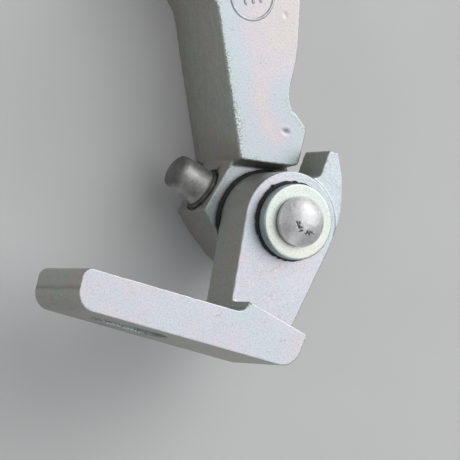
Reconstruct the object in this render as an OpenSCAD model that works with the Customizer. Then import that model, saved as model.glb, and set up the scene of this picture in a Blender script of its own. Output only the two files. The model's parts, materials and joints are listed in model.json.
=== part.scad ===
// Trailer coupler lock: a slotted foot bracket hinged on the hub of a heavy lock arm.
// It lies flat: X runs along the foot, Y is square to the foot, Z is the pivot axis, floor at z = 0.

/* [Origin] */
// Distance in X from the footprint centre to the pivot axis
pivot_x = 33.5; // [20:0.1:50]
// Distance in Y from the footprint centre to the pivot axis
pivot_y = -42.18; // [-60:0.1:-20]

/* [Lever] */
// Angle of the lock arm from the foot's normal at rest
lever_angle = 24.4; // [20:0.2:60]
// Thickness of the lever's shank and head
lever_depth = 40; // [38:0.5:46]
// Depth of the recess on each side of the hub
hub_recess = 7.5; // [6.5:0.5:8]
// Radius of the round lower end of the hub
hub_radius = 18.5; // [17:0.5:20]
// Draft of the step between shank and hub
step_draft = 1.5; // [0.5:0.1:2]
// Distance from the pivot to the centre of the lever's eye
head_reach = 122; // [116:1:150]
// Outer radius of the lever's head
head_radius = 28; // [24:0.5:30]
// Radius of the hole for the head bush
head_bush_radius = 16; // [14:0.5:18]
// Radius of the pin hole in the head bush
head_bore_radius = 12.5; // [8:0.5:12.5]
// Outer radius of the raised ring on the lever
mark_radius = 10; // [7:0.1:10]

/* [Bracket] */
// Outer radius of the bracket's eye
eye_radius = 20; // [18:0.5:21]
// Room between the lever's hub and the bracket's eye, for the wear disc
disc_room = 1.5; // [1:0.1:3]
// Thickness of the eye and the web
eye_depth = 22; // [18:0.5:24]
// Distance that the foot reaches back beyond the eye's back face
foot_drop = 4.5; // [1:0.1:5]
// Depth of the foot
foot_depth = 41.5; // [36:0.5:44]
// Distance from the pivot to the foot's upper face
foot_top = 41.2; // [39:0.1:46]
// Thickness of the foot
foot_thick = 16; // [13:0.5:20]
// Distance from the pivot to the foot's free end
foot_reach = 88.2; // [80:0.5:110]
// Radius of the round ends of the foot's slot
slot_radius = 9; // [6:0.5:11]
// Length of the foot's slot
slot_length = 32; // [26:1:36]
// Distance from the pivot to the slot's centre
slot_reach = 55; // [50:1:58]

/* [Pivot] */
// Radius of the pivot pin's shank
pin_radius = 8; // [6:0.5:8.5]
// Radius of the pivot pin's heads
head_rim_radius = 10; // [9.5:0.5:12]
// Radius of the steel washers
washer_radius = 15; // [13:0.5:16]
// Thickness of the front washer
washer_depth = 4.9; // [3:0.1:6]
// Outer radius of the wear disc between eye and hub
hub_disc_radius = 21.2; // [20:0.1:22]
// Outer radius of the wear disc under the front washer
front_disc_radius = 16; // [14:0.1:18]
// Radial play of the pivot pin in its bush
pivot_play = 0.06; // [0.02:0.01:0.1]

/* [Plunger] */
// Radius of the guided part of the plunger
plunger_radius = 8.4; // [7.6:0.1:8.6]
// Radius of the plunger's free end
plunger_tip_radius = 7.1; // [5:0.1:7.2]
// Length of the plunger outside the hub
plunger_out = 15.3; // [8:0.1:18]
// Distance that the plunger can be pushed in
plunger_stroke = 5; // [2:0.5:5]
// Radius of the plunger spring's wire
wire_radius = 0.6; // [0.4:0.05:0.8]

/* [Hidden] */

$fn = 96;
hub_back = hub_recess;
hub_front = lever_depth - hub_recess;
hub_middle = lever_depth / 2;
eye_back = hub_front + disc_room;
eye_front = eye_back + eye_depth;
foot_back = eye_back - foot_drop;
foot_front = foot_back + foot_depth;
gap = 0.15;
disc_depth = 1.2;
washer_back = eye_front + disc_depth + gap;
washer_front = washer_back + washer_depth;
rim_depth = 2.7;
dome_depth = 4;
dome_radius = (head_rim_radius * head_rim_radius + dome_depth * dome_depth) / (2 * dome_depth);
rear_disc_depth = 1.3;
rear_head_depth = 2.7;
horn_drop = 1;
shank_side = -9.8;
step_top = 26.9;
step_slope = -15.1;
facet_angle = 138.1;
facet_reach = 24.9;
bore_end = 10.5;
rim_out = 0.9;
lip = 0.6;
sleeve_radius = plunger_radius + 1.1;
pocket_radius = 5;
pocket_end = 30;
body_end = bore_end + plunger_stroke + 1.5;
cone_start = facet_reach + rim_out - lip - 0.2;
coil_radius = 3.9;
coil_turns = 7;
coil_sides = 8;
coil_steps = 14;
bush_wall = 2;
mark_centre = [6.2, 90];
head_centre = [6, head_reach];

function unit(v) = v / norm(v);

// Points of the arc of radius r that rounds the corner p between its two neighbours.
function corner(before, p, after, r, steps) =
    let (
        at = [p[0], p[1]],
        u = unit([before[0], before[1]] - at),
        v = unit([after[0], after[1]] - at),
        half = acos(u * v) / 2,
        reach = r / tan(half),
        centre = at + unit(u + v) * r / sin(half),
        start = at + u * reach - centre,
        end = at + v * reach - centre,
        first = atan2(start[1], start[0]),
        turn = (atan2(end[1], end[0]) - first + 540) % 360 - 180
    )
    r <= 0 ? [at] : [
        for (i = [0:steps])
            centre + r * [cos(first + turn * i / steps), sin(first + turn * i / steps)]
    ];

// An outline of [x, y, corner radius] points with its corners rounded.
function rounded(list, steps = 8) = [
    for (i = [0:len(list) - 1])
        each corner(
            list[(i + len(list) - 1) % len(list)],
            list[i],
            list[(i + 1) % len(list)],
            list[i][2],
            steps
        )
];

// Points [x, y, 0] of an arc around a centre.
function arc(centre, r, from, to, steps) = [
    for (i = [0:steps])
        let (a = from + (to - from) * i / steps)
        [centre[0] + r * cos(a), centre[1] + r * sin(a), 0]
];

// Point where the tangent from p touches the circle around centre, on the side given by turn.
function touch(p, centre, r, turn) =
    let (
        d = p - centre,
        a = atan2(d[1], d[0]) + turn * acos(r / norm(d))
    )
    [centre[0] + r * cos(a), centre[1] + r * sin(a), 0];

function slab_line(x) = -foot_top - 1.6 - 0.228 * (x - 10.5);

foot_outline = [
    [-foot_reach, -foot_top, 4],
    [-foot_reach, -foot_top - foot_thick, 7],
    [8.2, -foot_top - foot_thick, 8],
    [10.6, slab_line(10.6), 1.5],
    [-17.5, slab_line(-17.5), 0.5],
    [-17.4, -foot_top, 4]
];

web_outline = [
    touch([-17.5, -36], [0, 0], eye_radius, -1),
    [-17.5, -36, 0],
    [-17.5, -foot_top - 2, 0],
    [10.4, -foot_top - 3, 0],
    [10.5, -foot_top - 1, 0],
    touch([10.5, -foot_top - 1], [0, 0], eye_radius, 1),
    [0, 0, 0]
];

horn_outline = concat(
    [[0, 14, 0], [1.7, 19.9, 0], [8.5, 20.1, 2.6], [10, 32.3, 1.2], [14.1, 32.3, 2.2]],
    arc([-23.7, 7.3], 44.9, 28, -11, 16),
    [[8, -6, 0]]
);

left_touch = touch([shank_side, 88], head_centre, head_radius, -1);
right_touch = touch([27.7, 86], head_centre, head_radius, 1);

shank_outline = [
    [shank_side, step_top, 0],
    [15.5, step_top - 6.83, 3],
    [21.9, 34.7, 5],
    [16.1, 44, 5],
    [16.3, 49.5, 14],
    [22.9, 65.5, 30],
    [27.7, 86, 20],
    right_touch,
    [head_centre[0], head_centre[1], 0],
    left_touch,
    [shank_side, 88, 9]
];

hub_flank = [-21.4, -0.1];
hub_outline = [
    [shank_side, 32, 0],
    [shank_side, 26.4, 0.4],
    [-25.3, 9.1, 1.2],
    [hub_flank[0], hub_flank[1], 14],
    touch(hub_flank, [0, 0], hub_radius, 1),
    [0, 0, 0],
    [14.5, 18.5, 2],
    [14.5, 21, 0]
];

module placed() {
    translate([pivot_x, pivot_y, 0])
        children();
}

module on_lever() {
    placed()
        rotate([0, 0, lever_angle])
            children();
}

// Along the plunger: the local Z axis runs out of the hub's facet, with zero at the pivot axis.
module on_facet() {
    on_lever()
        translate([0, 0, hub_middle])
            rotate([0, 0, facet_angle])
                rotate([0, 90, 0])
                    children();
}

module plate(outline, from, to) {
    translate([0, 0, from])
        linear_extrude(to - from)
            polygon(outline);
}

module ring(outer, inner, from, to) {
    translate([0, 0, from])
        linear_extrude(to - from)
            difference() {
                circle(outer);
                circle(inner);
            }
}

module disc(r, from, to) {
    translate([0, 0, from])
        cylinder(h = to - from, r = r);
}

module slot_cut() {
    translate([-slot_reach, 0, (foot_back + foot_front) / 2])
        rotate([90, 0, 0])
            for (side = [-1, 1])
                translate([side * (slot_length / 2 - slot_radius), 0, foot_top - 1])
                    cylinder(h = foot_thick + 2, r = slot_radius);
    translate([
        -slot_reach - slot_length / 2 + slot_radius,
        -foot_top - foot_thick - 1,
        (foot_back + foot_front) / 2 - slot_radius
    ])
        cube([slot_length - 2 * slot_radius, foot_thick + 2, 2 * slot_radius]);
}

module bracket() {
    color([0.74, 0.76, 0.74])
        placed()
            difference() {
                union() {
                    plate(rounded(foot_outline), foot_back, foot_front);
                    plate(rounded(web_outline), eye_back, eye_front);
                    disc(eye_radius, eye_back, eye_front);
                    plate(rounded(horn_outline), eye_back + 0.6, eye_front - horn_drop);
                }
                disc(pin_radius + bush_wall, eye_back - 1, eye_front + 1);
                slot_cut();
            }
}

module eye_bush() {
    color([0.72, 0.58, 0.35])
        placed()
            ring(pin_radius + bush_wall, pin_radius + pivot_play, eye_back + 0.3, eye_front - 0.3);
}

module front_disc() {
    color([0.08, 0.08, 0.09])
        placed()
            ring(front_disc_radius, pin_radius + 0.4, eye_front, eye_front + disc_depth);
}

// Wedge that gives the step between shank and hub its draft.
module step_wedge() {
    translate([shank_side, step_top, 0])
        rotate([0, 0, step_slope])
            translate([0.3, 0, 0])
                rotate([90, 0, 90])
                    linear_extrude(23.5)
                        polygon([
                            [-step_draft, hub_front - 1],
                            [-step_draft, hub_front],
                            [0, lever_depth - 0.4],
                            [2, lever_depth - 0.4],
                            [2, hub_front - 1]
                        ]);
}

module mark() {
    ring(mark_radius, mark_radius - 1, lever_depth - 0.2, lever_depth + 0.4);
    for (x = [-3.4, 0, 3.4])
        translate([x - 0.5, -3.2, lever_depth - 0.2])
            cube([1, 6.4, 0.6]);
}

module lever() {
    color([0.76, 0.77, 0.75])
        difference() {
            on_lever()
                difference() {
                    union() {
                        plate(rounded(shank_outline), 0, lever_depth);
                        translate(head_centre)
                            disc(head_radius, 0, lever_depth);
                        step_wedge();
                        translate([0, 0, lever_depth])
                            mirror([0, 0, 1])
                                step_wedge();
                        plate(rounded(hub_outline), hub_back, hub_front);
                        disc(hub_radius, hub_back, hub_front);
                        translate(mark_centre)
                            mark();
                    }
                    disc(pin_radius, -1, lever_depth + 1);
                    translate(head_centre)
                        disc(head_bush_radius, -1, lever_depth + 1);
                }
            on_facet()
                disc(sleeve_radius, bore_end, facet_reach + 12);
        }
}

module head_bush() {
    color([0.62, 0.62, 0.6])
        on_lever()
            translate(head_centre)
                ring(head_bush_radius, head_bore_radius, 0.5, lever_depth - 0.5);
}

module pivot_pin() {
    color([0.7, 0.7, 0.7])
        placed() {
            disc(head_rim_radius, 0, rear_head_depth);
            disc(pin_radius, 0.5, washer_front + 0.5);
            disc(head_rim_radius, washer_front, washer_front + rim_depth);
            intersection() {
                translate([0, 0, washer_front + rim_depth + dome_depth - dome_radius])
                    sphere(dome_radius);
                disc(head_rim_radius, washer_front + 1, washer_front + 12);
            }
        }
}

module front_washer() {
    color([0.85, 0.86, 0.82])
        placed()
            ring(washer_radius, pin_radius, washer_back, washer_front);
}

module hub_disc() {
    color([0.08, 0.08, 0.09])
        on_lever()
            ring(hub_disc_radius, pin_radius, hub_front, eye_back - gap);
}

module rear_disc() {
    color([0.08, 0.08, 0.09])
        placed()
            ring(washer_radius + 0.8, pin_radius, hub_back - rear_disc_depth, hub_back);
}

module rear_washer() {
    color([0.85, 0.86, 0.82])
        placed()
            ring(washer_radius, pin_radius, rear_head_depth, hub_back - rear_disc_depth);
}

module plunger_sleeve() {
    color([0.5, 0.5, 0.5])
        on_facet()
            difference() {
                union() {
                    disc(sleeve_radius, bore_end + 0.5, facet_reach - 1);
                    disc(plunger_radius + 0.4, facet_reach - 2, facet_reach + rim_out);
                }
                disc(plunger_radius + 0.07, bore_end, facet_reach + rim_out - lip);
                disc(plunger_radius - 0.25, bore_end, facet_reach + 5);
            }
}

module plunger() {
    tip = facet_reach + plunger_out;
    edge = 1.6;
    color([0.55, 0.56, 0.56])
        on_facet()
            rotate_extrude()
                polygon(concat(
                    [
                        [pocket_radius, body_end],
                        [plunger_radius, body_end],
                        [plunger_radius, cone_start],
                        [plunger_radius - 0.35, cone_start],
                        [plunger_tip_radius, tip - edge]
                    ],
                    [
                        for (a = [15:15:90])
                            [plunger_tip_radius - edge * (1 - cos(a)), tip - edge * (1 - sin(a))]
                    ],
                    [
                        [0, tip],
                        [0, pocket_end],
                        [pocket_radius, pocket_end]
                    ]
                ));
}

module plunger_spring() {
    from = bore_end + wire_radius + 0.05;
    to = pocket_end - wire_radius - 0.05;
    count = coil_turns * coil_steps;
    points = [
        for (i = [0:count])
            for (j = [0:coil_sides - 1])
                let (
                    a = 360 * i / coil_steps,
                    b = 360 * j / coil_sides,
                    r = coil_radius + wire_radius * cos(b)
                )
                [r * cos(a), r * sin(a), from + (to - from) * i / count + wire_radius * sin(b)]
    ];
    sides = [
        for (i = [0:count - 1])
            for (j = [0:coil_sides - 1])
                let (k = (j + 1) % coil_sides)
                each [
                    [i * coil_sides + j, (i + 1) * coil_sides + j, (i + 1) * coil_sides + k],
                    [i * coil_sides + j, (i + 1) * coil_sides + k, i * coil_sides + k]
                ]
    ];
    ends = [
        [for (j = [0:coil_sides - 1]) j],
        [for (j = [0:coil_sides - 1]) (count + 1) * coil_sides - 1 - j]
    ];
    color([0.45, 0.45, 0.47])
        on_facet()
            polyhedron(points, concat(sides, ends));
}

bracket();
eye_bush();
front_disc();
lever();
head_bush();
pivot_pin();
front_washer();
hub_disc();
rear_disc();
rear_washer();
plunger_sleeve();
plunger_spring();
plunger();
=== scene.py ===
"""Looks of the trailer coupler lock: forged and plated arm and bracket, pivot, wear discs and plunger.

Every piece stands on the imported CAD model. Lengths are in metres.
"""

import json
import math

import bmesh
import bpy
import numpy as np
from mathutils import Matrix, Vector
from mathutils.bvhtree import BVHTree
from mathutils.kdtree import KDTree


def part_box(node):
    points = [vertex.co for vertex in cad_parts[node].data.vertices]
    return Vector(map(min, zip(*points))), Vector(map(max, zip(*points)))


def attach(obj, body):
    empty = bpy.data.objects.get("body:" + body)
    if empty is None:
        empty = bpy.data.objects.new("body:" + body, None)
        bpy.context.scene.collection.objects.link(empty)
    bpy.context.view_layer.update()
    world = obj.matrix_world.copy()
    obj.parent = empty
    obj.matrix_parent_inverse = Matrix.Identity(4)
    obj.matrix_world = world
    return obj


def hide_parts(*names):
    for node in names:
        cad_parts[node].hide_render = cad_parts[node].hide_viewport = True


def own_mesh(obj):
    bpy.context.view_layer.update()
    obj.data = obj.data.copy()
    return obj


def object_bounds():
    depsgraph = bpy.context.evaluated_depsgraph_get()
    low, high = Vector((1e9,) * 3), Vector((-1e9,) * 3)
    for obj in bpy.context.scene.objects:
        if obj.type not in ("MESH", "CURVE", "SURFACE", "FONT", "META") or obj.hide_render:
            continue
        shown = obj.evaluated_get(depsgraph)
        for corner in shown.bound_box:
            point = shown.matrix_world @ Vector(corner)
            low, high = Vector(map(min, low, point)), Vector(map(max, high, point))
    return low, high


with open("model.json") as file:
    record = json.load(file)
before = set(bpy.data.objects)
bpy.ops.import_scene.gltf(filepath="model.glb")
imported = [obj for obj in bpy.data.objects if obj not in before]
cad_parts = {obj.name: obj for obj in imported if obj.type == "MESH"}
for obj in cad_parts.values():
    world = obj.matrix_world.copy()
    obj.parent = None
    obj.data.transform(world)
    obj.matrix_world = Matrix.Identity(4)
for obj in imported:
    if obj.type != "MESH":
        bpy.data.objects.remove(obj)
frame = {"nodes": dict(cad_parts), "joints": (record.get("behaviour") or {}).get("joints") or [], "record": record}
cad_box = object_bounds()

MM = 0.001
FACET_ANGLE = math.radians(138.1)  # from the lever's X axis to the plunger's axis
PIN_SHANK = 8 * MM
BUSH_PLAY = 0.06  # mm between the pin's shank and the bracket's bush
LEVER_VOXEL = 0.57 * MM
BRACKET_VOXEL = 0.47 * MM
SOFTENING = 4  # rounds of smoothing on a forging's edges

VIEW_BACK = Vector((-0.454, -0.008, 0.891))  # towards the camera, before the view's turn
VIEW_TURN = math.radians(14.9)
VIEW_DISTANCE = 1.3
VIEW_AIM = (0.01847, 0.00242)  # the pivot is seen this far right of and above the centre
VIEW_HEIGHT = 56 * MM  # of the point aimed at, on the pivot's axis
LENS = 258.4
SENSOR = 36


# ---------------------------------------------------------------- places on the CAD model

def joint(name):
    """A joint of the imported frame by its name."""
    return next(j for j in frame["joints"] if j["name"] == name)


def mount(name):
    """A mount of the record by its name."""
    return next(m for m in frame["record"]["mounts"] if m["name"] == name)


pivot = Vector(joint("pivot")["pos_m"])
pivot.z = 0
lever_eye = Vector(mount("lever_eye")["pos_m"])
lever_front = 2 * lever_eye.z
outward = -Vector(joint("plunger_slide")["axis"])
lever_turn = math.atan2(outward.y, outward.x) - FACET_ANGLE
plunger_root = Vector((pivot.x, pivot.y, lever_eye.z))
foot_low, foot_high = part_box("bracket")


def turned(points, angle):
    """Points turned about Z by an angle."""
    c, s = math.cos(angle), math.sin(angle)
    x, y = points[:, 0].copy(), points[:, 1].copy()
    out = points.copy()
    out[:, 0] = c * x - s * y
    out[:, 1] = s * x + c * y
    return out


def span(cad_node, origin, axis):
    """Where a CAD node starts and ends along an axis, and its largest radius about it."""
    rel = coords(frame["nodes"][cad_node].data) - np.array(origin)
    along = rel @ np.array(axis)
    out = np.linalg.norm(rel - along[:, None] * np.array(axis), axis=1)
    return along.min(), along.max(), out.max()


# ---------------------------------------------------------------- mesh helpers

def coords(mesh):
    """The mesh's points, one row each."""
    co = np.empty(len(mesh.vertices) * 3, np.float32)
    mesh.vertices.foreach_get("co", co)
    return co.reshape(-1, 3).astype(float)


def normals(mesh):
    """The mesh's outward directions at its points."""
    out = np.empty(len(mesh.vertices) * 3, np.float32)
    mesh.vertex_normals.foreach_get("vector", out)
    return out.reshape(-1, 3).astype(float)


def put(mesh, co):
    """Moves the mesh's points."""
    mesh.vertices.foreach_set("co", co.astype(np.float32).ravel())
    mesh.update()


def set_mask(mesh, name, values):
    """Writes one of the masks that store() made."""
    mesh.attributes[name].data.foreach_set("value", np.clip(values, 0, 1).astype(np.float32))


def store(mesh, **masks):
    """Keeps masks from 0 to 1 on the mesh's points, for its material."""
    for name in ("edge", "inner", "upright", "grime", "rust"):
        mesh.attributes.new(name, "FLOAT", "POINT")
        set_mask(mesh, name, masks.get(name, np.zeros(len(mesh.vertices))))


def smooth(low, high, x):
    """A soft step from 0 at low to 1 at high."""
    t = np.clip((x - low) / (high - low), 0, 1)
    return t * t * (3 - 2 * t)


def hashed(cell, seed):
    """Repeatable numbers from -1 to 1, one for each whole-number cell.

    The large odd multipliers only scatter the bits.
    """
    h = cell[:, 0] * 73856093 ^ cell[:, 1] * 19349663 ^ cell[:, 2] * 83492791 ^ (seed * 40503 + 977)
    h = ((h ^ (h >> 13)) * 1274126177) & 0xFFFFFFFF
    h = ((h ^ (h >> 15)) * 668265263) & 0xFFFFFFFF
    return ((h ^ (h >> 16)) & 0xFFFF) / 32767.5 - 1


def grain(co, size, seed, octaves=1):
    """Smooth repeatable noise from -1 to 1 with features of a given size."""
    total = np.zeros(len(co))
    for k in range(octaves):
        p = co / size * 2**k + 31.7 * (k + 1)
        cell = np.floor(p).astype(np.int64)
        t = p - cell
        t = t * t * (3 - 2 * t)
        value = np.zeros(len(co))
        for corner in np.ndindex(2, 2, 2):
            weight = np.prod(np.where(corner, t, 1 - t), axis=1)
            value += weight * hashed(cell + np.array(corner), seed + k)
        total += value * 0.5**k
    return total / (2 - 0.5 ** (octaves - 1))


def add_object(name, data):
    """A new object in the scene from a mesh, a light or a camera."""
    piece = bpy.data.objects.new(name, data)
    bpy.context.scene.collection.objects.link(piece)
    return piece


def bridge(shape, rings, closed=False):
    """Joins each ring of points to the next with quads, and the last to the first if closed."""
    following = rings[1:] + rings[:1] if closed else rings[1:]
    for a, b in zip(rings, following):
        for k in range(len(a)):
            m = (k + 1) % len(a)
            shape.faces.new((a[k], b[k], b[m], a[m]))


def close_shape(shape, name):
    """Turns a built shape into a mesh with its faces outwards."""
    bmesh.ops.recalc_face_normals(shape, faces=shape.faces)
    mesh = bpy.data.meshes.new(name)
    shape.to_mesh(mesh)
    shape.free()
    return mesh


def settle_piece(piece, cad_node, body, material):
    """Gives a finished piece its body, its material and smooth shading."""
    mesh = piece.data
    mesh.polygons.foreach_set("use_smooth", np.ones(len(mesh.polygons), bool))
    mesh.materials.clear()
    mesh.materials.append(material)
    if cad_node:
        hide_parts(cad_node)
    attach(piece, body)


def forged(cad_node, name, voxel):
    """A softened copy of a CAD node: flat faces stay on the CAD surface and its edges are rounded.

    Returns the piece, its points and a mask of its rounded edges.
    """
    shape = bmesh.new()
    shape.from_mesh(frame["nodes"][cad_node].data)
    bmesh.ops.remove_doubles(shape, verts=shape.verts, dist=1e-6)
    mesh = bpy.data.meshes.new(name)
    shape.to_mesh(mesh)
    tree = BVHTree.FromBMesh(shape)
    shape.free()
    piece = add_object(name, mesh)
    voxels = piece.modifiers.new("Voxels", "REMESH")
    voxels.mode = "VOXEL"
    voxels.voxel_size = voxel
    soften = piece.modifiers.new("Soften", "SMOOTH")
    soften.factor = 0.5
    soften.iterations = SOFTENING
    bpy.context.view_layer.update()
    evaluated = piece.evaluated_get(bpy.context.evaluated_depsgraph_get())
    piece.data = bpy.data.meshes.new_from_object(evaluated)
    piece.modifiers.clear()
    mesh = piece.data
    co = coords(mesh)
    near = np.array([tree.find_nearest(p)[0] for p in co])
    shift = near - co
    gap = np.linalg.norm(shift, axis=1)
    convex = np.einsum("ij,ij->i", shift, normals(mesh)) > 0
    co += shift * (1 - smooth(0.07 * MM, 0.2 * MM, gap))[:, None]
    edge = np.where(convex, smooth(0.04 * MM, 0.22 * MM, gap), 0)
    put(mesh, co)
    return piece, co, edge


def distance_inside(co, edge, reach):
    """How far each point is from the nearest rounded edge, as a share of reach."""
    rims = co[edge > 0.5]
    tree = KDTree(len(rims))
    for i, p in enumerate(rims):
        tree.insert(p, i)
    tree.balance()
    return np.clip(np.array([tree.find(p)[2] for p in co]) / reach, 0, 1)


def worn_band(co, edge, inner, reach, upright, rough, seed, widen=0.0):
    """The rounded edges and the speckled band of uneven width beside them on the faces."""
    width = (2.5 + 1.5 * grain(co, 11 * MM, seed, 2) + widen) * MM / reach
    band = (1 - smooth(0.3 * width, width, inner)) * upright
    return np.maximum(edge, 0.9 * band) * rough


def rough_skin(co, edge, rough, seed):
    """How far the forged skin lies below the CAD surface: swells, orange peel and nibbled edges."""
    swell = 0.05 * MM * (0.5 + 0.5 * grain(co, 9 * MM, seed, 2))
    peel = 0.018 * MM * (0.5 + 0.5 * grain(co, 1.5 * MM, seed + 7, 2))
    nibble = rough * edge * 0.34 * MM * np.clip(0.25 + 1.3 * grain(co, 1.35 * MM, seed + 13, 2), 0, 1)
    return swell + peel + nibble


def dent(local, front, centre, half, depth, turn):
    """Depth of an oval dent, given in mm, with a small raised lip, on a face that looks along Z."""
    rel = turned(local - np.array([*centre, 0]) * MM, -turn) / MM
    d = np.sqrt((rel[:, 0] / half[0]) ** 2 + (rel[:, 1] / half[1]) ** 2)
    on_face = local[:, 2] > front - 1.2 * MM
    bowl = depth * MM * (np.exp(-(d**2)) - 0.12 * np.exp(-((d - 1.9) ** 2) * 3))
    return np.where(on_face, bowl, 0)


# ---------------------------------------------------------------- lathe work

def filleted(points, steps=6):
    """A closed (radius, height, fillet) outline with its corners rounded."""
    out = []
    count = len(points)
    for i, (x, y, r) in enumerate(points):
        at = np.array([x, y])
        if r == 0:
            out.append(at)
            continue
        before = np.array(points[i - 1][:2]) - at
        after = np.array(points[(i + 1) % count][:2]) - at
        u, v = before / np.linalg.norm(before), after / np.linalg.norm(after)
        half = math.acos(np.clip(u @ v, -1, 1)) / 2
        reach = min(r / math.tan(half), 0.49 * np.linalg.norm(before), 0.49 * np.linalg.norm(after))
        a, b = at + u * reach, at + v * reach
        for k in range(steps + 1):
            t = k / steps
            out.append((1 - t) ** 2 * a + 2 * t * (1 - t) * at + t**2 * b)
    return out


def divided(outline, step):
    """The outline with no side longer than step, apart from a side on the axis."""
    out = []
    count = len(outline)
    for i, a in enumerate(outline):
        b = outline[(i + 1) % count]
        if a[0] < 1e-9 and b[0] < 1e-9:
            out.append(a)
            continue
        parts = max(1, math.ceil(np.linalg.norm(b - a) / step))
        out += [a + (b - a) * k / parts for k in range(parts)]
    return out


def lathe(name, points, origin, axis, sides=192, step=0.5 * MM, skin=None):
    """A turned piece from a closed outline of (radius, height, fillet) in millimetres.

    skin(co) gives how far each point lies below the turned surface.
    """
    outline = divided(filleted([(x * MM, y * MM, r * MM) for x, y, r in points]), step)
    rows = np.array(outline)
    turn = np.arange(sides) * 2 * math.pi / sides
    ring = np.stack([np.cos(turn), np.sin(turn)], 1)
    local = np.empty((sides, len(rows), 3))
    local[:, :, :2] = ring[:, None, :] * rows[None, :, :1]
    local[:, :, 2] = rows[None, :, 1]
    count = len(rows)
    faces = []
    for i in range(sides):
        j = (i + 1) % sides
        for k in range(count):
            m = (k + 1) % count
            if rows[k][0] < 1e-9 and rows[m][0] < 1e-9:
                continue
            faces.append((i * count + k, j * count + k, j * count + m, i * count + m))
    mesh = bpy.data.meshes.new(name)
    mesh.from_pydata(local.reshape(-1, 3).tolist(), [], faces)
    shape = bmesh.new()
    shape.from_mesh(mesh)
    bmesh.ops.remove_doubles(shape, verts=shape.verts, dist=1e-7)
    bmesh.ops.recalc_face_normals(shape, faces=shape.faces)
    shape.to_mesh(mesh)
    shape.free()
    local = coords(mesh)
    out = normals(mesh)
    if skin is not None:
        put(mesh, local - out * skin(local)[:, None])
    upright = smooth(0.55, 0.9, np.abs(out[:, 2]))
    store(mesh, upright=upright, inner=np.full(len(local), 0.5))
    piece = add_object(name, mesh)
    to_axis = Vector((0, 0, 1)).rotation_difference(Vector(axis)).to_matrix().to_4x4()
    mesh.transform(Matrix.Translation(Vector(origin)) @ to_axis)
    return piece


def fine_skin(amount, size, seed):
    """A skin function for turned parts: faint tool marks and handling wear."""

    def skin(co):
        return amount * MM * (0.5 + 0.5 * grain(co, size * MM, seed, 2))

    return skin


# ---------------------------------------------------------------- materials

def node(tree, kind, inputs=None, **settings):
    """A shader node with its inputs set to values or linked to sockets."""
    made = tree.nodes.new("ShaderNode" + kind)
    for key, value in settings.items():
        setattr(made, key, value)
    for key, value in (inputs or {}).items():
        if isinstance(value, bpy.types.NodeSocket):
            tree.links.new(value, made.inputs[key])
        else:
            made.inputs[key].default_value = value
    return made


def blend(tree, share, a, b, mode="MIX"):
    """Colour a with a share of colour b mixed in."""
    made = node(tree, "Mix", data_type="RGBA", blend_type=mode)
    for index, value in ((0, share), (6, a), (7, b)):
        if isinstance(value, bpy.types.NodeSocket):
            tree.links.new(value, made.inputs[index])
        else:
            made.inputs[index].default_value = value if index == 0 else (*value, 1)
    return made.outputs[2]


def maths(tree, kind, a, b=0.0, clamp=False):
    """A sum or product of two sockets or values."""
    return node(tree, "Math", {0: a, 1: b}, operation=kind, use_clamp=clamp).outputs[0]


def ramp(tree, value, stops):
    """Colours or grey levels by value; each stop is (place, grey or colour)."""
    made = node(tree, "ValToRGB", {"Fac": value})
    elements = made.color_ramp.elements
    while len(elements) < len(stops):
        elements.new(0.5)
    for element, (place, tone) in zip(elements, stops):
        element.position = place
        element.color = (*tone, 1) if isinstance(tone, tuple) else (tone, tone, tone, 1)
    return made.outputs["Color"]


def placed(tree, stretch=(1, 1, 1), turn=0.0, shift=0.0):
    """The object's own space, turned about Z, with features made longer by stretch."""
    made = node(tree, "Mapping", {"Vector": node(tree, "TexCoord").outputs["Object"],
                                  "Rotation": (0, 0, turn), "Scale": stretch,
                                  "Location": (shift, shift * 0.7, 0)}, vector_type="TEXTURE")
    return made.outputs[0]


def pattern(tree, scale, detail=2.0, rough=0.5, stretch=(1, 1, 1), turn=0.0, shift=0.0):
    """Noise with a given number of features a metre."""
    made = node(tree, "TexNoise", {"Vector": placed(tree, stretch, turn, shift), "Scale": scale,
                                   "Detail": detail, "Roughness": rough})
    return made.outputs["Fac"]


def hairlines(tree, scale, width, sparse, shift=0.0):
    """A mask of sparse, wandering hairline scratches."""
    wander = node(tree, "TexNoise", {"Vector": placed(tree, shift=shift), "Scale": scale * 2.5, "Detail": 3})
    bent = node(tree, "VectorMath", {0: wander.outputs["Color"], "Scale": 0.35 / scale}, operation="SCALE")
    place = node(tree, "VectorMath", {0: placed(tree, shift=shift), 1: bent.outputs[0]}, operation="ADD")
    cells = node(tree, "TexVoronoi", {"Vector": place.outputs[0], "Scale": scale},
                 feature="DISTANCE_TO_EDGE")
    line = ramp(tree, cells.outputs["Distance"], [(0.0, 1.0), (width, 0.0)])
    some = ramp(tree, pattern(tree, scale * 1.1, 2, shift=shift + 9), [(sparse, 0.0), (sparse + 0.05, 1.0)])
    return maths(tree, "MULTIPLY", line, some)


def mask(tree, name):
    """One of the mesh's stored masks."""
    return node(tree, "Attribute", attribute_name=name).outputs["Fac"]


def new_material(name):
    """An empty node material and its tree."""
    material = bpy.data.materials.new(name)
    material.use_nodes = True
    material.node_tree.nodes.clear()
    return material, material.node_tree


def finish_material(tree, colour, roughness, height, metallic, depth):
    """The surface of a material, with its height pattern as bumps of a given depth."""
    bump = node(tree, "Bump", {"Height": height, "Distance": depth, "Strength": 1.0})
    shader = node(tree, "BsdfPrincipled", {"Base Color": colour, "Roughness": roughness,
                                           "Metallic": metallic, "Normal": bump.outputs[0]})
    node(tree, "OutputMaterial", {"Surface": shader.outputs[0]})


def scaled(stops, share):
    """The stops of a colour ramp, all darker or lighter by a share."""
    return [(place, tuple(share * c for c in tone)) for place, tone in stops]


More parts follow.
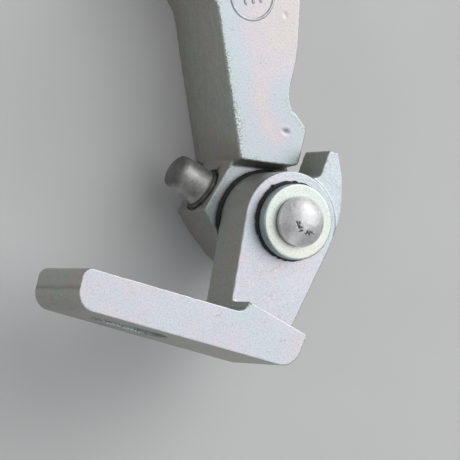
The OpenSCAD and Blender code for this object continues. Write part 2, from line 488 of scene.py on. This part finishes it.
# The plating's colours: FILM on faces, from their rims inwards, and the darker side colours on the sides, partly
# their duller finish and partly painted shade.
FILM = [(0.0, (0.585, 0.67, 0.68)), (0.22, (0.605, 0.665, 0.705)), (0.42, (0.635, 0.655, 0.71)),
        (0.62, (0.70, 0.645, 0.685)), (0.8, (0.72, 0.67, 0.655)), (1.0, (0.67, 0.70, 0.64))]
DULL_AND_SHADED = [(0.25, (0.43, 0.48, 0.47)), (0.42, (0.45, 0.48, 0.43)), (0.55, (0.475, 0.47, 0.42)),
        (0.68, (0.48, 0.435, 0.445)), (0.85, (0.41, 0.455, 0.455))]


def plated(name, streak_turn=0.0, streaks=1.0, film_shift=0.0, face=FILM, dull_and_shaded=DULL_AND_SHADED):
    """Passivated zinc: pearly on the faces, streaked on the sheared or forged sides, which are darker partly by
    painted shade.
    """
    material, tree = new_material(name)
    upright, edge = mask(tree, "upright"), mask(tree, "edge")

    # the film's colour runs from the rims inwards, in clouds
    broad = pattern(tree, 34, 3, shift=film_shift)
    mottle = pattern(tree, 150, 4, 0.6, shift=film_shift + 1)
    film = maths(tree, "ADD", maths(tree, "MULTIPLY", mask(tree, "inner"), 0.62),
                 maths(tree, "MULTIPLY", maths(tree, "SUBTRACT", broad, 0.5), 0.8))
    film = maths(tree, "ADD", film, maths(tree, "MULTIPLY", maths(tree, "SUBTRACT", mottle, 0.5), 0.55))
    bright = ramp(tree, maths(tree, "ADD", film, 0.05, clamp=True), face)

    # the sides have a duller finish, are darker by painted shade as well, and are streaked across
    clouds = pattern(tree, 75, 4, 0.55, (1, 2.5, 0.8), streak_turn, film_shift + 3)
    sides = ramp(tree, clouds, dull_and_shaded)
    streak = pattern(tree, 1150, 3, 0.6, (0.7, 4, 0.7), streak_turn)
    sides = blend(tree, 0.4 * streaks, sides, ramp(tree, streak, [(0.3, 0.7), (0.7, 1.25)]), "MULTIPLY")
    # faces and sides by their direction: the darker side colours are partly painted shade
    colour = blend(tree, upright, sides, bright)

    # speckle, pits, hairlines, worn and dirty edges, dirt and painted shade, and rust
    speck = pattern(tree, 1900, 2, 0.7)
    colour = blend(tree, 0.7, colour, ramp(tree, speck, [(0.28, 0.62), (0.5, 1.0), (0.72, 1.16)]), "MULTIPLY")
    pits = ramp(tree, pattern(tree, 640, 4, 0.75, shift=5), [(0.29, 1.0), (0.34, 0.0)])
    colour = blend(tree, maths(tree, "MULTIPLY", pits, 0.55), colour, (0.20, 0.19, 0.17))
    lines = maths(tree, "MULTIPLY", hairlines(tree, 48, 0.008, 0.60, film_shift), 0.34)
    colour = blend(tree, lines, colour, (0.20, 0.19, 0.18))
    worn = maths(tree, "MULTIPLY", edge,
                 ramp(tree, pattern(tree, 1400, 3, 0.75, shift=8), [(0.49, 0.0), (0.54, 1.0)]))
    colour = blend(tree, maths(tree, "MULTIPLY", worn, 0.65), colour, (0.80, 0.80, 0.75))
    dark = ramp(tree, pattern(tree, 1300, 3, 0.75, shift=11), [(0.44, 1.0), (0.50, 0.0)])
    colour = blend(tree, maths(tree, "MULTIPLY", edge, dark), colour, (0.20, 0.19, 0.165))
    # dirt, and painted shade where the stored mask holds it
    colour = blend(tree, mask(tree, "grime"), colour, (0.06, 0.055, 0.048))
    colour = blend(tree, mask(tree, "rust"), colour, (0.33, 0.14, 0.05))

    # the gloss varies with the film, and the bumps with all the marks
    matt = maths(tree, "SUBTRACT", 1.0, upright)
    roughness = maths(tree, "ADD", maths(tree, "MULTIPLY", broad, 0.10),
                      maths(tree, "ADD", maths(tree, "MULTIPLY", speck, 0.14), 0.31))
    roughness = maths(tree, "ADD", roughness, maths(tree, "MULTIPLY", matt, 0.07))
    height = maths(tree, "ADD", maths(tree, "MULTIPLY", speck, 0.45),
                   maths(tree, "MULTIPLY", pattern(tree, 700, 3, 0.6), 0.6))
    height = maths(tree, "SUBTRACT", height, maths(tree, "MULTIPLY", pits, 0.8))
    height = maths(tree, "SUBTRACT", height, lines)
    height = maths(tree, "ADD", height, maths(tree, "MULTIPLY", maths(tree, "MULTIPLY", matt, streak),
                                              1.8 * streaks))
    finish_material(tree, colour, roughness, height, 1.0, 0.035 * MM)
    return material


def bare_steel(name, tone, spread=0.25, rough=0.3, stretch=(1, 1, 1), depth=0.02, turn=0.0, pitted=0.25):
    """Uncoated steel with tool marks along the stretch, stains and handling wear."""
    material, tree = new_material(name)
    stain = pattern(tree, 210, 4, 0.6)
    lines = pattern(tree, 1500, 3, 0.65, stretch, turn, 2)
    low = tuple(c * (1 - spread) for c in tone)
    high = tuple(min(1, c * (1 + spread)) for c in tone)
    colour = ramp(tree, stain, [(0.3, low), (0.55, tone), (0.75, high)])
    colour = blend(tree, 0.6, colour, ramp(tree, lines, [(0.3, 0.7), (0.5, 1.0), (0.7, 1.15)]), "MULTIPLY")
    pits = ramp(tree, pattern(tree, 900, 3, 0.7, shift=6), [(0.3, 1.0), (0.36, 0.0)])
    colour = blend(tree, maths(tree, "MULTIPLY", pits, pitted), colour, (0.08, 0.07, 0.06))
    colour = blend(tree, mask(tree, "edge"), colour, tuple(min(1, c * 1.35) for c in tone))
    # dirt, and painted shade where the stored mask holds it
    colour = blend(tree, mask(tree, "grime"), colour, (0.030, 0.026, 0.022))
    colour = blend(tree, mask(tree, "rust"), colour, (0.26, 0.11, 0.045))
    roughness = maths(tree, "ADD", maths(tree, "MULTIPLY", lines, 0.22),
                      maths(tree, "ADD", maths(tree, "MULTIPLY", stain, 0.16), rough - 0.16))
    roughness = maths(tree, "ADD", roughness, maths(tree, "MULTIPLY", mask(tree, "grime"), 0.4))
    height = maths(tree, "ADD", lines, maths(tree, "MULTIPLY", pattern(tree, 420, 2), 0.7))
    finish_material(tree, colour, roughness, height, 1.0, depth * MM)
    return material


def wear_fibre(name):
    """Matt black fibre with dusty, frayed patches."""
    material, tree = new_material(name)
    dust = pattern(tree, 520, 4, 0.7)
    colour = ramp(tree, dust, [(0.35, (0.010, 0.010, 0.011)), (0.6, (0.022, 0.022, 0.024)),
                               (0.78, (0.075, 0.072, 0.066))])
    roughness = maths(tree, "ADD", maths(tree, "MULTIPLY", dust, 0.2), 0.58)
    finish_material(tree, colour, roughness, pattern(tree, 1700, 3, 0.7), 0.0, 0.12 * MM)
    return material


def bronze(name):
    """Oiled bearing bronze with turning marks."""
    material, tree = new_material(name)
    stain = pattern(tree, 160, 4, 0.6)
    colour = ramp(tree, stain, [(0.3, (0.34, 0.22, 0.10)), (0.55, (0.60, 0.42, 0.20)),
                                (0.75, (0.70, 0.52, 0.28))])
    lines = pattern(tree, 2200, 2, 0.6, (5, 5, 0.5))
    roughness = maths(tree, "ADD", maths(tree, "MULTIPLY", lines, 0.2), 0.22)
    finish_material(tree, colour, roughness, lines, 1.0, 0.02 * MM)
    return material


arm_plating = plated("arm_plating", streak_turn=lever_turn, face=scaled(FILM, 0.89),
                     dull_and_shaded=scaled(DULL_AND_SHADED, 1.12))
foot_plating = plated("foot_plating", streak_turn=math.pi / 2, film_shift=1.7)
WASHER_FILM = [(0.2, (0.70, 0.78, 0.73)), (0.45, (0.77, 0.80, 0.74)), (0.7, (0.80, 0.79, 0.74)),
               (0.9, (0.74, 0.78, 0.78))]
WASHER_SIDE = [(0.3, (0.44, 0.60, 0.66)), (0.5, (0.54, 0.63, 0.63)), (0.75, (0.46, 0.52, 0.46))]
washer_plating = plated("washer_plating", streaks=0.3, film_shift=4.2, face=WASHER_FILM, dull_and_shaded=WASHER_SIDE)
head_steel = bare_steel("head_steel", (0.76, 0.76, 0.77), 0.18, 0.48, (1, 1, 1), 0.03, pitted=0.0)
turned_steel = bare_steel("turned_steel", (0.34, 0.345, 0.34), 0.35, 0.34, (5, 5, 0.6), 0.035)
plunger_steel = bare_steel("plunger_steel", (0.52, 0.525, 0.51), 0.35, 0.48, (0.55, 5, 5), 0.10,
                           turn=math.atan2(outward.y, outward.x), pitted=0.1)
wire_steel = bare_steel("wire_steel", (0.30, 0.30, 0.32), 0.3, 0.3)
disc_fibre = wear_fibre("disc_fibre")
bush_bronze = bronze("bush_bronze")


# ---------------------------------------------------------------- lever

# In the lever's own axes: X across the arm and Y along it, from the pivot.
MARK_CENTRE = np.array([6.2, 90.0]) * MM
MARK_RADIUS = 10 * MM
MARK_WIRE = 0.62 * MM
KNOCK = (12.1, 34.6)  # the dirty knock near the arm's lower corner, in mm
# centre, half sizes, depth (mm) and turn (radians) of each dent in the front face
LEVER_DENTS = ((KNOCK, (1.5, 0.9), 0.42, -0.5), ((19.6, 80.6), (0.7, 1.3), 0.22, 0.2),
               ((17.2, 42.3), (0.8, 0.8), 0.2, 0.0))


def make_lever():
    """The lock arm: a softened forging with a worn left edge, dents, and painted shade where it meets the eye and
    along its step.
    """
    piece, co, edge = forged("lever", "lever_forging", LEVER_VOXEL)
    mesh = piece.data
    local = turned(co - np.array(pivot), -lever_turn)

    # the CAD's raised mark is flattened here, because make_mark rebuilds it
    on_mark = (np.linalg.norm(local[:, :2] - MARK_CENTRE, axis=1) < MARK_RADIUS + 1.6 * MM) & (
        co[:, 2] > lever_front - 0.5 * MM)
    co[on_mark, 2] = lever_front
    edge = np.where(on_mark, 0, edge)
    put(mesh, co)
    out = normals(mesh)
    rough = 0.45 + 0.55 * smooth(4 * MM, -6 * MM, local[:, 0]) * smooth(20 * MM, 30 * MM, local[:, 1])
    depth = rough_skin(co, edge, rough, 3)
    for centre, half, deep, turn in LEVER_DENTS:
        depth += dent(local, lever_front, centre, half, deep, turn)
    put(mesh, co - out * depth[:, None])

    # dirt in the knock; painted shade in the groove along the step and on the hub's face around the eye's disc;
    # the hub's lower sides made darker
    upright = smooth(0.6, 0.93, np.abs(out[:, 2]))
    reach = 13 * MM
    inner = distance_inside(co, edge, reach)
    top = (co[:, 2] > lever_front - 1 * MM) & (upright > 0.5)
    hit = np.linalg.norm((local[:, :2] / MM - np.array(KNOCK)) / np.array([1.3, 1.0]), axis=1)
    grime = np.where(top, 0.4 * np.exp(-(hit**2)), 0)
    # painted shade in the groove along the step
    along_step = smooth(24 * MM, 27.5 * MM, local[:, 1]) * (1 - smooth(27.5 * MM, 31 * MM, local[:, 1]))
    on_step = smooth(-0.25, -0.7, turned(out, -lever_turn)[:, 1])
    grime += 0.7 * along_step * on_step * np.clip(0.6 + grain(co, 2 * MM, 60, 2), 0, 1)
    from_pivot = np.linalg.norm(local[:, :2], axis=1) / MM
    # painted shade on the hub's face around the eye's disc, where the eye's wall shades it
    beside_eye = (upright > 0.4) & (co[:, 2] < lever_front - 4 * MM) & (co[:, 2] > lever_eye.z)
    in_from_rim = smooth(0.9 * MM / reach, 2.2 * MM / reach, inner)
    grime += np.where(beside_eye, 0.5 * (1 - smooth(20.8, 23.2, from_pivot)) * in_from_rim, 0)
    # the hub's lower sides made darker
    grime += 0.24 * (1 - upright) * smooth(17 * MM, 8 * MM, local[:, 1])

    # a rust spot beside the plunger, and the rubbed part of the left edge
    sideways = Vector((outward.y, -outward.x, 0))
    rusty_spot = plunger_root + (25 * outward + 9.8 * sideways + Vector((0, 0, 4))) * MM
    far = np.linalg.norm(co - np.array(rusty_spot), axis=1) / MM
    rust = 0.9 * np.exp(-((far / 1.7) ** 2)) * np.clip(0.7 + grain(co, 0.9 * MM, 71, 2), 0, 1)
    rubbed = 2.2 * np.exp(-(((local[:, 1] - 43 * MM) / (9 * MM)) ** 2))
    band = worn_band(co, edge, inner, reach, upright, rough, 92, rubbed)
    store(mesh, edge=band, inner=inner, upright=upright, grime=grime, rust=rust)
    settle_piece(piece, "lever", "lever", arm_plating)


def make_mark():
    """A raised ring with three plain bars on the lever's front face."""
    shape = bmesh.new()
    sides, section, height = 160, 10, 0.34 * MM
    rings = []
    for a in np.arange(sides) * 2 * math.pi / sides:
        ring = []
        for b in np.arange(section) * 2 * math.pi / section:
            r = MARK_RADIUS - MARK_WIRE + MARK_WIRE * math.cos(b)
            ring.append(shape.verts.new((r * math.cos(a), r * math.sin(a), height * math.sin(b))))
        rings.append(ring)
    bridge(shape, rings, closed=True)
    bar_gap, bar_half = 3.4 * MM, 3.2 * MM
    for side in (-1, 0, 1):
        add_bar(shape, side * bar_gap, bar_half)
    mesh = close_shape(shape, "lever_mark")
    co = coords(mesh)
    co[:, 2] += lever_front - 0.02 * MM + 0.04 * MM * grain(co, 1.6 * MM, 90, 2)
    co[:, :2] += MARK_CENTRE
    put(mesh, turned(co, lever_turn) + np.array(pivot))
    store(mesh, upright=np.ones(len(co)), inner=np.full(len(co), 0.3), edge=np.full(len(co), 0.15))
    settle_piece(add_object("lever_mark", mesh), None, "lever", arm_plating)


def add_bar(shape, x, half):
    """A low rounded bar along Y, as a swept half-round with closed ends."""
    wide, high, section = 0.7 * MM, 0.32 * MM, 10
    rings = []
    for s in np.linspace(-1, 1, 15):
        size = math.sqrt(max(0.02, 1 - abs(s) ** 6))
        rings.append([shape.verts.new((x + wide * size * math.cos(b), half * s, high * size * math.sin(b)))
                      for b in np.arange(section) * 2 * math.pi / section])
    bridge(shape, rings)
    shape.faces.new(rings[0][::-1])
    shape.faces.new(rings[-1])


# ---------------------------------------------------------------- bracket

SLOT_HALF = (17 * MM, 9.6 * MM)  # a little more than the foot slot's half length and half height
PARTING = 7.4 * MM  # from the foot's far side to its parting line
# centre, half sizes, depth (mm), turn (radians) and depth of the face below the front, of each dent
BRACKET_DENTS = (((-4.6, -26.5), (0.35, 1.5), 0.10, 0.25, 15), ((-1.5, -31), (0.5, 0.9), 0.10, -0.4, 15),
                 ((-16.5, -46), (0.35, 1.2), 0.08, 0.3, 0))


def make_bracket():
    """The bracket: a softened forging with rough foot edges and a parting line on the foot's end."""
    piece, co, edge = forged("bracket", "bracket_forging", BRACKET_VOXEL)
    mesh = piece.data
    out = normals(mesh)
    from_pivot = np.linalg.norm(co[:, :2] - np.array(pivot)[:2], axis=1)
    rough = 0.25 + 0.75 * smooth(24 * MM, 42 * MM, from_pivot)
    depth = rough_skin(co, edge, rough, 23)
    middle = foot_low.y + PARTING
    # the parting line across the foot's free end
    on_end = smooth(0.4, 0.9, -out[:, 0]) * (co[:, 0] < foot_low.x + 12 * MM)
    parting = np.exp(-(((co[:, 1] - middle - 0.4 * MM * grain(co, 6 * MM, 30)) / (0.8 * MM)) ** 2)) * on_end
    depth += 0.16 * MM * parting
    for centre, half, deep, turn, below in BRACKET_DENTS:
        depth += dent(co - np.array(pivot), foot_high.z - below * MM, centre, half, deep, turn)
    put(mesh, co - out * depth[:, None])
    upright = smooth(0.6, 0.93, np.abs(out[:, 2]))
    grime = 0.3 * parting
    slot = Vector(mount("foot_slot")["pos_m"])
    in_slot = (np.abs(co[:, 0] - slot.x) < SLOT_HALF[0]) & (np.abs(co[:, 2] - slot.z) < SLOT_HALF[1])
    # painted shade on the inner walls of the foot slot
    grime += np.where(in_slot & (np.abs(out[:, 1]) < 0.5), 0.25 * (1 - upright), 0)
    reach = 11 * MM
    inner = distance_inside(co, edge, reach)
    band = worn_band(co, edge, inner, reach, upright, rough, 94)
    store(mesh, edge=band, inner=0.65 * inner, upright=upright, grime=grime)
    settle_piece(piece, "bracket", "bracket", foot_plating)


# ---------------------------------------------------------------- pivot

HEAD_WALL = 2.6  # mm, the straight side of the pin's domed head
# each score on the dome: its two ends and its width, in mm from the pivot
SCORES = [(-3.8, -1.2, -2.3, -2.7, 0.55), (-2.8, -0.9, -2.1, -3.4, 0.45), (-3.3, -2.9, -0.8, -2.6, 0.5),
          (-1.7, -4.4, -0.2, -3.1, 0.6), (-0.6, -3.6, 1.6, -4.6, 0.55), (1.2, -3.3, 3.1, -4.4, 0.6),
          (2.4, -3.2, 5.1, -3.6, 0.5), (3.9, -4.1, 5.0, -2.4, 0.45)]


def make_pin():
    """The pivot pin, with a brushed and scored domed head."""
    low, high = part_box("pivot_pin")
    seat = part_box("front_washer")[1].z / MM
    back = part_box("rear_washer")[0].z / MM
    top = high.z / MM
    rim = (high.x - low.x) / 2 / MM
    start = seat + HEAD_WALL
    shank = PIN_SHANK / MM
    rise = top - start
    ball = (rim * rim + rise * rise) / (2 * rise)
    dome = [(rim * k / 24, top - ball + math.sqrt(ball**2 - (rim * k / 24) ** 2), 0) for k in range(24)]
    points = [(0, 0, 0), (rim, 0, 0.8), (rim, back, 0.2), (shank, back, 0), (shank, seat, 0),
              (rim - 0.3, seat, 0.2), (rim, start, 0.9)] + dome[:0:-1] + [(0, top, 0)]

    def skin(co):
        on_dome = smooth((start - 1.2) * MM, (start + 0.4) * MM, co[:, 2])
        hammer = 0.13 * MM * np.abs(grain(co, 3.6 * MM, 41, 2)) * on_dome
        arcs = np.linalg.norm(co[:, :2] - np.array([-2.5, 6]) * MM, axis=1)
        rub = 0.03 * MM * (0.5 + 0.5 * np.sin(arcs / (0.42 * MM) + 3 * grain(co, 5 * MM, 45, 2))) * on_dome
        rub *= smooth(-0.2, 0.5, grain(co, 4 * MM, 46, 2))
        scuff = 0.03 * MM * (0.5 + 0.5 * grain(co, 0.7 * MM, 43, 2))
        return hammer + rub + scuff + 0.2 * MM * pit_mask(co) * on_dome

    piece = lathe("pivot_pin_turned", points, (pivot.x, pivot.y, 0), (0, 0, 1), 288, 0.22 * MM, skin)
    mesh = piece.data
    rel = coords(mesh) - np.array(pivot)
    dome_mask = smooth((start - 1) * MM, start * MM, rel[:, 2])
    # the scores on the dome, and a painted contact shadow in a ring just above the washer seat
    stain = pit_mask(rel) * dome_mask + smooth((seat + 0.9) * MM, (seat + 0.1) * MM, rel[:, 2])
    ring_edge = smooth(rim - 1.1, rim - 0.4, np.linalg.norm(rel[:, :2], axis=1) / MM) * dome_mask * 0.4
    set_mask(mesh, "grime", 0.8 * stain)
    set_mask(mesh, "edge", ring_edge)
    settle_piece(piece, "pivot_pin", "lever", head_steel)


def pit_mask(rel):
    """The crossed, broken scores on the pin's domed head."""
    ragged = 0.6 + 1.2 * grain(rel, 0.7 * MM, 47, 3)
    total = np.zeros(len(rel))
    for x1, y1, x2, y2, width in SCORES:
        start, along = np.array([x1, y1]) * MM, np.array([x2 - x1, y2 - y1]) * MM
        share = np.clip((rel[:, :2] - start) @ along / (along @ along), 0, 1)
        d = np.linalg.norm(rel[:, :2] - start - share[:, None] * along, axis=1) / (width * MM)
        total = np.maximum(total, np.exp(-(d**2)))
    return smooth(0.2, 0.75, total * ragged)


def make_washers():
    """The two steel washers, with their outer corners softened by soft mm."""
    shank = PIN_SHANK / MM
    for name, node_name, soft in (("front_washer_plated", "front_washer", 0.9),
                                  ("rear_washer_plated", "rear_washer", 0.6)):
        low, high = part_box(node_name)
        rim = (high.x - low.x) / 2 / MM
        points = [(shank, low.z / MM, 0.3), (rim, low.z / MM, 0.5), (rim, high.z / MM, soft),
                  (shank, high.z / MM, 0.5)]
        piece = lathe(name, points, (pivot.x, pivot.y, 0), (0, 0, 1), 320, 0.3 * MM,
                      fine_skin(0.05, 3.0, 51))
        settle_piece(piece, node_name, "lever", washer_plating)


def make_disc(name, node_name, body, ragged, seed, slip=(0, 0), flake=None):
    """A worn fibre disc with a torn rim. It may have slipped a little, and have a torn flake at an angle."""
    low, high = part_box(node_name)
    rim = (high.x - low.x) / 2
    hole = PIN_SHANK if node_name != "front_disc" else PIN_SHANK + 0.4 * MM
    sides, rows = 420, 26
    shape = bmesh.new()
    turn = np.arange(sides) * 2 * math.pi / sides
    ring = np.stack([np.cos(turn), np.sin(turn), np.zeros(sides)], 1)
    tear = np.abs(grain(ring * rim, 2.6 * MM, seed, 3))
    nick = smooth(0.15, 0.55, grain(ring * rim, 1.1 * MM, seed + 5, 2))
    edge_radius = rim - ragged * (0.55 * tear + 0.5 * nick) * MM
    if flake is not None:
        away = (turn - math.radians(flake) + math.pi) % (2 * math.pi) - math.pi
        edge_radius += 0.9 * MM * np.exp(-((away / math.radians(2.6)) ** 2))
    thick = high.z - low.z
    loops = []
    for side in (1, -1):
        for k in range(rows) if side == 1 else range(rows)[::-1]:
            t = k / (rows - 1)
            fall = 0.42 * t**14  # thins only at the rim
            loop = []
            for i in range(sides):
                r = hole + (edge_radius[i] - hole) * t
                wave = 0.04 * math.sin(turn[i] * 5 + seed) * t
                z = (low.z + high.z) / 2 + side * thick * (0.5 - fall * 0.5 - 0.02 - abs(wave) * 0.3)
                loop.append(shape.verts.new((pivot.x + slip[0] * MM + r * ring[i][0],
                                             pivot.y + slip[1] * MM + r * ring[i][1], z)))
            loops.append(loop)
    bridge(shape, loops, closed=True)
    mesh = close_shape(shape, name)
    store(mesh)
    settle_piece(add_object(name, mesh), node_name, body, disc_fibre)


def make_bushes():
    """The bearing bush in the bracket's eye and the steel bush in the arm's upper eye."""
    low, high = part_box("eye_bush")
    rim = (high.x - low.x) / 2 / MM
    hole = PIN_SHANK / MM + BUSH_PLAY
    points = [(hole, low.z / MM, 0.3), (rim, low.z / MM, 0.3), (rim, high.z / MM, 0.3),
              (hole, high.z / MM, 0.3)]
    piece = lathe("eye_bush_turned", points, (pivot.x, pivot.y, 0), (0, 0, 1), 160, 0.8 * MM)
    settle_piece(piece, "eye_bush", "bracket", bush_bronze)
    low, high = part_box("head_bush")
    rim = (high.x - low.x) / 2 / MM
    hole = mount("lever_eye")["dims"]["r_mm"]
    points = [(hole, low.z / MM, 1.0), (rim, low.z / MM, 0.4), (rim, high.z / MM, 0.4),
              (hole, high.z / MM, 1.0)]
    piece = lathe("head_bush_turned", points, (lever_eye.x, lever_eye.y, 0), (0, 0, 1), 224, 0.6 * MM,
                  fine_skin(0.03, 2.0, 55))
    settle_piece(piece, "head_bush", "lever", turned_steel)


# ---------------------------------------------------------------- plunger

def make_plunger():
    """The plunger: a turned collar, a tapering tip with a rounded end, and a hollow back."""
    low, high, rim = (v / MM for v in span("plunger", plunger_root, outward))
    mouth = span("plunger_sleeve", plunger_root, outward)[1] / MM
    collar = mouth - 0.8
    points = [(5, low, 0.2), (rim, low, 0.3), (rim, collar, 0.15), (rim - 0.35, collar + 0.05, 0.1),
              (rim - 0.42, mouth + 0.9, 0.3), (rim - 0.62, mouth + 1.3, 0.3), (7.35, high - 5, 0),
              (7.1, high - 2.4, 1.2), (6.45, high - 0.75, 1.0), (5.0, high, 0.8), (0, high, 0),
              (0, 30, 0), (5, 30, 0.3)]

    def skin(co):
        turning = 0.02 * MM * (0.5 + 0.5 * grain(co * np.array([0.15, 0.15, 1.0]), 0.7 * MM, 61, 2))
        scores = 0.06 * MM * smooth(0.45, 0.8, grain(co * np.array([1, 1, 0.08]), 0.9 * MM, 63, 2))
        knocks = 0.10 * MM * smooth(0.55, 0.9, grain(co, 1.6 * MM, 65, 2))
        return turning + (scores + knocks) * (co[:, 2] > mouth * MM)

    piece = lathe("plunger_turned", points, plunger_root, outward, 224, 0.3 * MM, skin)
    mesh = piece.data
    along = (coords(mesh) - np.array(plunger_root)) @ np.array(outward) / MM
    # darker towards the tip, and a dark ring where the plunger leaves the sleeve's mouth
    grime = 0.55 * smooth(high - 4.2, high - 0.4, along) + 0.6 * np.exp(-(((along - mouth - 0.1) / 0.7) ** 2))
    set_mask(mesh, "grime", grime)
    settle_piece(piece, "plunger", "plunger", plunger_steel)


def make_sleeve():
    """The plunger's guide sleeve, with a stepped and lipped mouth."""
    low, high, rim = (v / MM for v in span("plunger_sleeve", plunger_root, outward))
    inner = span("plunger", plunger_root, outward)[2] / MM
    points = [(inner + 0.07, low, 0.2), (rim, low, 0.3), (rim, high - 1.9, 0.2), (rim - 0.7, high - 1.8, 0.1),
              (rim - 0.7, high, 0.45), (inner - 0.25, high, 0.25), (inner - 0.25, high - 0.6, 0.1),
              (inner + 0.07, high - 0.65, 0.1)]
    piece = lathe("plunger_sleeve_turned", points, plunger_root, outward, 192, 0.4 * MM,
                  fine_skin(0.05, 1.2, 67))
    mesh = piece.data
    co = coords(mesh)
    grime = 0.25 + 0.5 * np.clip(grain(co, 2.2 * MM, 68, 2), 0, 1)
    rust = 0.6 * smooth(0.25, 0.7, grain(co, 3.5 * MM, 69, 2))
    set_mask(mesh, "grime", grime)
    set_mask(mesh, "rust", rust)
    settle_piece(piece, "plunger_sleeve", "lever", turned_steel)


def make_spring():
    """A round wire coil in the room of the CAD coil."""
    low, high, rim = span("plunger_spring", plunger_root, outward)
    wire = 0.6 * MM
    coil = rim - wire
    turns, steps, section = 7, 40, 12
    count = turns * steps
    to_axis = Vector(outward).to_track_quat("Z", "Y")
    shape = bmesh.new()
    rings = []
    for i in range(count + 1):
        a = 2 * math.pi * i / steps
        rise = low + wire + (high - low - 2 * wire) * i / count
        ring = []
        for k in range(section):
            b = 2 * math.pi * k / section
            r = coil + wire * math.cos(b)
            at = Vector((r * math.cos(a), r * math.sin(a), rise + wire * math.sin(b)))
            ring.append(shape.verts.new(plunger_root + to_axis @ at))
        rings.append(ring)
    bridge(shape, rings)
    shape.faces.new(rings[0])
    shape.faces.new(rings[-1][::-1])
    mesh = close_shape(shape, "plunger_spring_wound")
    store(mesh)
    piece = add_object("plunger_spring_wound", mesh)
    settle_piece(piece, "plunger_spring", "lever", wire_steel)
    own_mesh(piece)


# ---------------------------------------------------------------- stage

# name, direction before the view's turn, distance (m), side of the square (m) and power (W)
LIGHTS = (
    ("key", (0.52, 0.30, 0.80), 1.5, 2.0, 11.8),
    ("low_fill", (0.0, -0.84, 0.54), 1.3, 0.5, 1.3),
    ("side_fill", (-0.85, 0.25, 0.45), 1.6, 0.9, 2.0),
    ("shadow_key", (0.72, 0.50, 0.52), 1.6, 1.3, 6.3),
)
SKY = (0.80, 0.81, 0.83, 1)
SKY_STRENGTH = 0.38
FLOOR_HALF = 3.0


def make_floor():
    """A plain pale floor under the lock."""
    mesh = bpy.data.meshes.new("floor")
    corners = [(x * FLOOR_HALF, y * FLOOR_HALF, 0) for x, y in ((-1, -1), (1, -1), (1, 1), (-1, 1))]
    mesh.from_pydata(corners, [], [(0, 1, 2, 3)])
    floor = add_object("floor", mesh)
    floor.location.z = cad_box[0].z
    material, tree = new_material("floor_paper")
    tone = ramp(tree, pattern(tree, 6, 3), [(0.3, (0.64, 0.64, 0.64)), (0.7, (0.70, 0.70, 0.70))])
    finish_material(tree, tone, 0.85, pattern(tree, 240, 3), 0.0, 0.05 * MM)
    mesh.materials.append(material)


def make_lights(spin):
    """Soft square lights about the lock, turned with the view, and an even sky."""
    centre = (cad_box[0] + cad_box[1]) / 2
    for name, direction, distance, size, power in LIGHTS:
        data = bpy.data.lights.new(name, "AREA")
        data.shape = "SQUARE"
        data.size = size
        data.energy = power
        light = add_object(name, data)
        way = spin @ Vector(direction).normalized()
        light.location = centre + way * distance
        light.rotation_mode = "QUATERNION"
        light.rotation_quaternion = way.to_track_quat("Z", "Y")

    world = bpy.data.worlds.new("studio")
    bpy.context.scene.world = world
    world.use_nodes = True
    background = world.node_tree.nodes["Background"]
    background.inputs[0].default_value = SKY
    background.inputs[1].default_value = SKY_STRENGTH


def make_camera(spin):
    """The camera at the photograph's viewing angle, turned with the view."""
    back = VIEW_BACK.normalized()
    right = Vector((0, 1, 0)).cross(back).normalized()
    up = back.cross(right)
    aim = pivot + Vector((0, 0, VIEW_HEIGHT))
    offset = VIEW_DISTANCE * (back - VIEW_AIM[0] * right - VIEW_AIM[1] * up)
    data = bpy.data.cameras.new("camera")
    data.sensor_width = SENSOR
    data.lens = LENS
    data.clip_start, data.clip_end = 0.05, 20
    camera = add_object("camera", data)
    rotation = (spin @ Matrix((right, up, back)).transposed()).to_4x4()
    camera.matrix_world = Matrix.Translation(aim + spin @ offset) @ rotation
    bpy.context.scene.camera = camera
    bpy.context.scene.view_settings.view_transform = "Standard"


make_lever()
make_mark()
make_bracket()
make_pin()
make_washers()
make_disc("front_disc_worn", "front_disc", "bracket", 0.95, 81, (-0.1, 0.36), 136)
make_disc("hub_disc_worn", "hub_disc", "lever", 0.7, 83)
make_disc("rear_disc_worn", "rear_disc", "lever", 0.6, 85)
make_bushes()
make_plunger()
make_sleeve()
make_spring()
make_floor()
view_spin = Matrix.Rotation(VIEW_TURN, 3, "Z")
make_lights(view_spin)
make_camera(view_spin)
